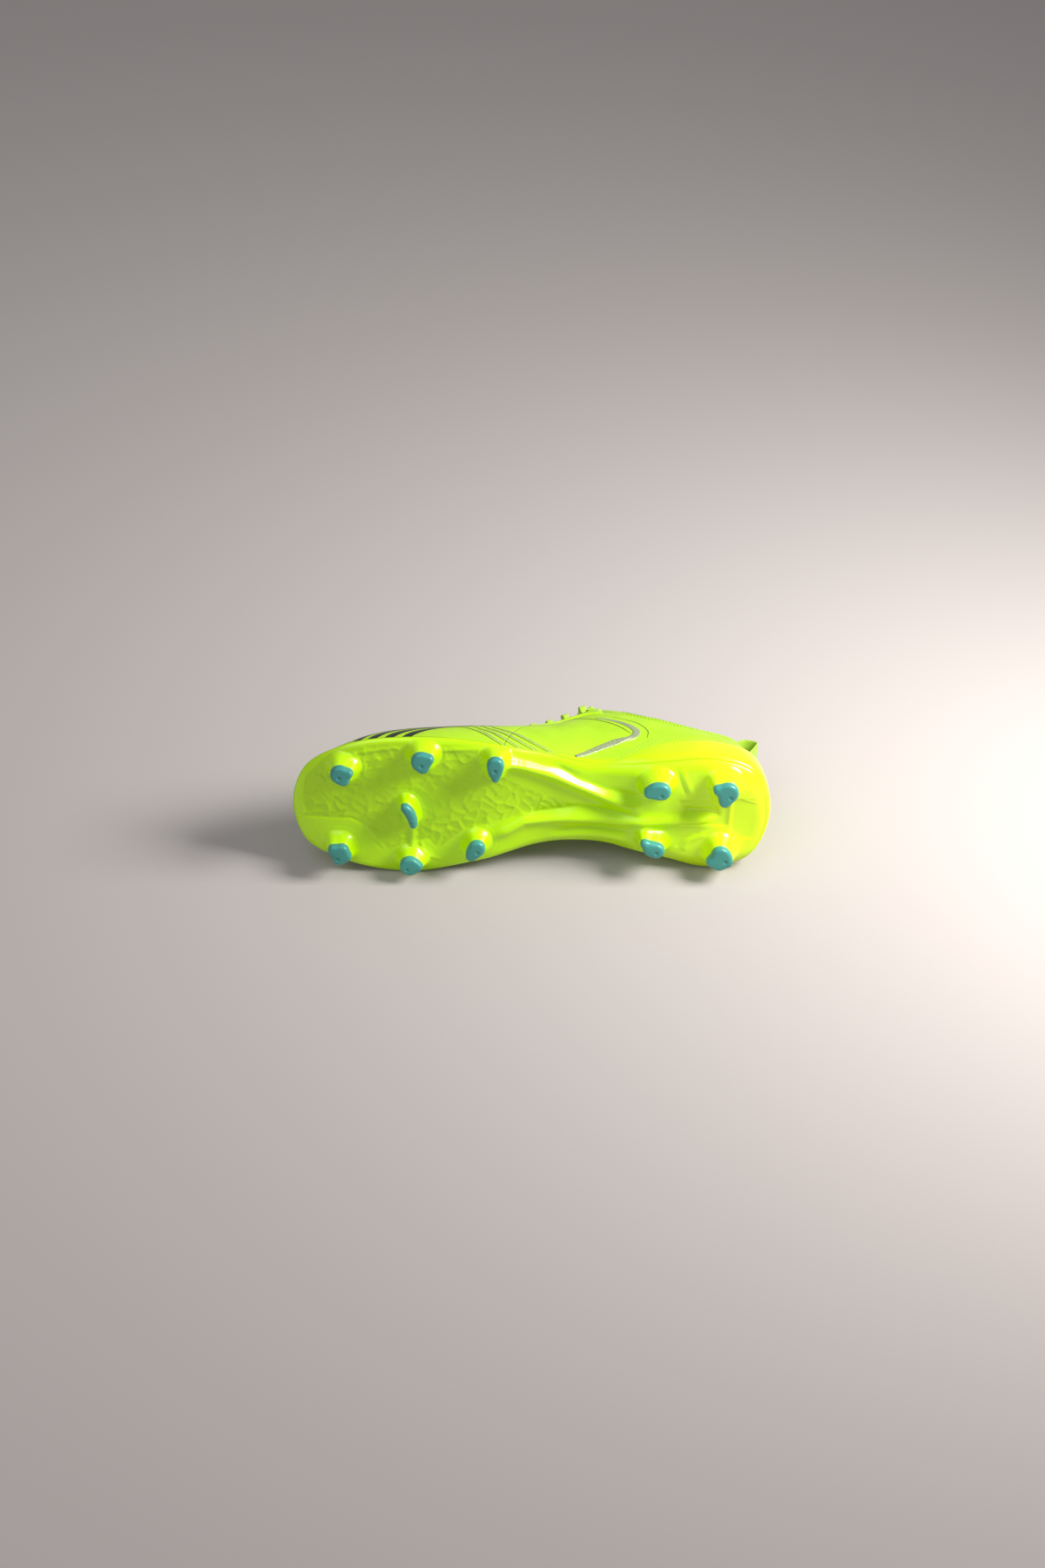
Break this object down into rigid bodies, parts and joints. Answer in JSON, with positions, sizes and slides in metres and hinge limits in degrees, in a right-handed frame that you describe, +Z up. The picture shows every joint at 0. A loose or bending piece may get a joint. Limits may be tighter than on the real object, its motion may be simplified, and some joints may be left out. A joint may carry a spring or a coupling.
{
  "type": "soccer cleat",
  "caption": "Left soccer boot: moulded plate with teal-tipped conical studs, smooth lime upper, laced throat, padded collar and heel pull loop.",
  "frame": {"origin": "middle of the boot's footprint, on the ground plane under the studs", "axes": "+Z up from the ground, toe towards -Y, heel towards +Y, outer (lateral) side towards +X; this is the left boot"},
  "size_m": [0.094, 0.2872, 0.1082],
  "materials": {
    "plate": "glossy bright lime moulded TPU",
    "tip": "satin teal moulded TPU stud tips",
    "upper": "smooth coated synthetic, lime",
    "overlay": "bonded synthetic overlay, lime",
    "band": "silver-grey bonded film",
    "lining": "knit textile lining, lime",
    "foam": "open-cell collar foam",
    "stiffener": "thermoformed stiffener sheet",
    "board": "fibre insole board",
    "sockliner": "textile-topped moulded foam insole",
    "lace": "flat woven lace, lime"
  },
  "bodies": {
    "boot": {"outsole_plate": "plate", "stud_tip_toe_lateral": "tip", "stud_tip_toe_medial": "tip", "stud_tip_ball_lateral": "tip", "stud_tip_ball_medial": "tip", "stud_tip_arch_lateral": "tip", "stud_tip_arch_medial": "tip", "stud_tip_centre": "tip", "stud_tip_heel_front_lateral": "tip", "stud_tip_heel_front_medial": "tip", "stud_tip_heel_rear_lateral": "tip", "stud_tip_heel_rear_medial": "tip", "vamp": "upper", "quarter_lateral": "upper", "eyestay_lateral": "overlay", "side_band_lateral": "band", "quarter_medial": "upper", "eyestay_medial": "overlay", "side_band_medial": "band", "heel_panel": "upper", "toe_puff": "stiffener", "heel_counter": "stiffener", "collar_foam": "foam", "collar_binding": "overlay", "lining": "lining", "insole_board": "board", "sockliner": "sockliner", "tongue": "upper", "lace": "lace", "pull_tab": "overlay"},
    "tongue_top": {"tongue_flap": "upper"}
  },
  "joints": [
    {"name": "tongue_fold", "type": "hinge", "parent": "boot", "child": "tongue_top", "pos_m": [0.00242, 0.04421, 0.09585], "axis": [1, 0, 0], "range_deg": [-20, 45], "stiffness_Nm_per_rad": 0.01}
  ]
}
